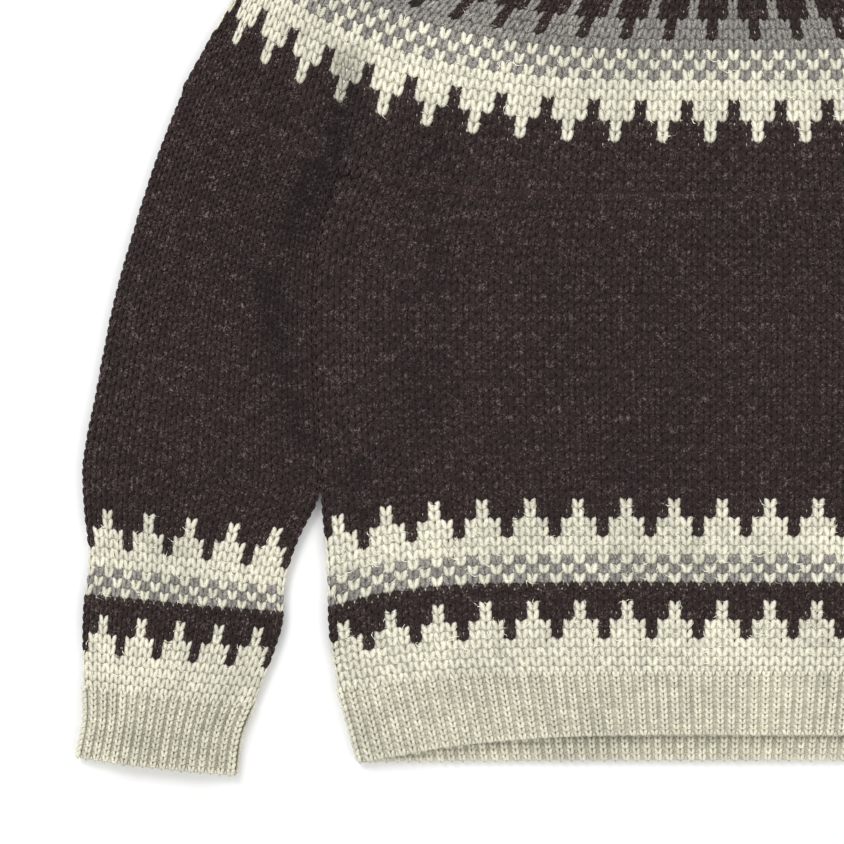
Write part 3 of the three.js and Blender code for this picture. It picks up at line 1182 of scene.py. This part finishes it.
@dataclass
class YokeAndNeckband:
    """The round yoke and the rib round the neck."""

    knitter: Knitter
    stitches: int = 200
    rows: int = 34
    fibres: int = 5000
    flat: tuple[float, float] = (1.36, 0.235)
    area: float = 0.26
    neck_stitches: int = 88
    neck_rows: int = 6
    neck_start: float = 0.012
    bind_off: float = 0.6
    neck_flat: tuple[float, float] = (0.4, 0.024)

    def build(self) -> None:
        """Knits the yoke and then the neckband."""
        knit = self.knitter
        form = YokeForm(self.stitches, self.rows, 0.0, 1.0)
        yarn = chart_yarn(YOKE_CHART)
        sheet = knit.backing("yoke_cloth", form, yarn)
        extras = [
            knit.stitches("yoke_front_stitches", form, yarn, Layer.FRONT),
            knit.stitches("yoke_back_stitches", form, yarn, Layer.BACK),
            knit.fuzz("yoke_fibres", form, yarn, self.fibres),
        ]
        knit.finish("yoke", sheet, extras, self.flat, "dark_brown_colourwork", area=self.area)
        form = YokeForm(self.neck_stitches, self.neck_rows, self.neck_start, 1.0, neck_table)
        sheet = knit.backing("neckband_cloth", form, plain_yarn(Yarn.DARK))
        rows, edge = self.neck_rows - 1, self.neck_rows - self.bind_off
        extras = [
            knit.rib("neckband_front", form, Yarn.DARK, Layer.FRONT, rows, edge),
            knit.rib("neckband_back", form, Yarn.DARK, Layer.BACK, rows, edge),
            knit.rib("neckband_inside", form, Yarn.DARK, Layer.INSIDE, self.neck_rows),
        ]
        knit.finish("neckband", sheet, extras, self.neck_flat, "dark_brown_rib")


@dataclass(frozen=True)
class SoftLamp:
    """One large lamp that looks at the origin."""

    name: str
    place: tuple[float, float, float]
    power: float
    size: float = 1.6

    def build(self) -> None:
        """Hangs the lamp."""
        data = bpy.data.lights.new(self.name, "AREA")
        data.energy, data.size = self.power, self.size
        lamp = bpy.data.objects.new(self.name, data)
        lamp.location = self.place
        x, y, z = (-value for value in self.place)
        lamp.rotation_euler = (math.atan2(math.hypot(x, y), -z), 0, math.atan2(-x, y))
        bpy.context.scene.collection.objects.link(lamp)


@dataclass
class Studio:
    """Floor, light and camera."""

    floor_size: float = 6.0
    floor_drop: float = 0.0002
    floor_grey: float = 0.93
    room_light: float = 0.75
    key: SoftLamp = SoftLamp("key", (-1.6, 1.8, 2.6), 62.0)
    fill: SoftLamp = SoftLamp("fill", (1.8, -1.2, 2.4), 18.0)
    view_width: float = 0.523
    centre_x: float = -0.188
    centre_y: float = 0.210
    lens: float = 85.0
    sensor: float = 36.0

    def lay_floor(self) -> None:
        """Makes the pale floor."""
        size, low = self.floor_size, -self.floor_drop
        corners = [(-size, -size, low), (size, -size, low), (size, size, low), (-size, size, low)]
        floor = mesh_object("floor", np.array(corners), np.array([[0, 1, 2, 3]]))
        white = bpy.data.materials.new("pale_floor")
        white.use_nodes = True
        shader = white.node_tree.nodes["Principled BSDF"]
        shader.inputs["Base Color"].default_value = (*[self.floor_grey] * 3, 1)
        shader.inputs["Roughness"].default_value = 0.9
        floor.data.materials.append(white)

    def light_room(self) -> None:
        """Makes the room's even light and hangs the lamps."""
        world = bpy.data.worlds.new("soft_room")
        world.use_nodes = True
        background = world.node_tree.nodes["Background"]
        background.inputs["Color"].default_value = (1, 1, 1, 1)
        background.inputs["Strength"].default_value = self.room_light
        bpy.context.scene.world = world
        self.key.build()
        self.fill.build()

    def build(self) -> None:
        """Makes the floor, the soft light and the camera."""
        self.lay_floor()
        self.light_room()
        scene = bpy.context.scene
        data = bpy.data.cameras.new("camera")
        data.lens, data.sensor_width, data.clip_end = self.lens, self.sensor, 50
        camera = bpy.data.objects.new("camera", data)
        distance = self.view_width * self.lens / self.sensor
        camera.location = (self.centre_x, self.centre_y + SHIFT_Y, distance)
        scene.collection.objects.link(camera)
        scene.camera = camera
        scene.view_settings.view_transform = "Standard"


def main() -> None:
    """Builds the studio and the garment, and reports each piece."""
    logging.basicConfig(level=logging.INFO, format="%(name)s %(message)s")
    Studio().build()
    knitter = Knitter(
        wool=Wool().build(),
        tree=stitch_tree(),
        knit=stitch_template("knit_stitch", Strand(4, 3), StitchKind.KNIT),
        knit_back=stitch_template("knit_stitch_back", Strand(4, 1), StitchKind.KNIT),
        ridge=stitch_template("rib_stitch", Strand(4, 2), StitchKind.RIDGE),
        bar=stitch_template("purl_bar", Strand(4, 1), StitchKind.PURL),
        fibre=stitch_template("stray_fibre", Strand(3, 1), StitchKind.FIBRE),
    )
    BodyAndHem(knitter).build()
    for side in Side:
        SleeveAndCuff(knitter, side).build()
    YokeAndNeckband(knitter).build()
    for template in knitter.templates():
        bpy.data.objects.remove(template)


if __name__ == "__main__":
    main()
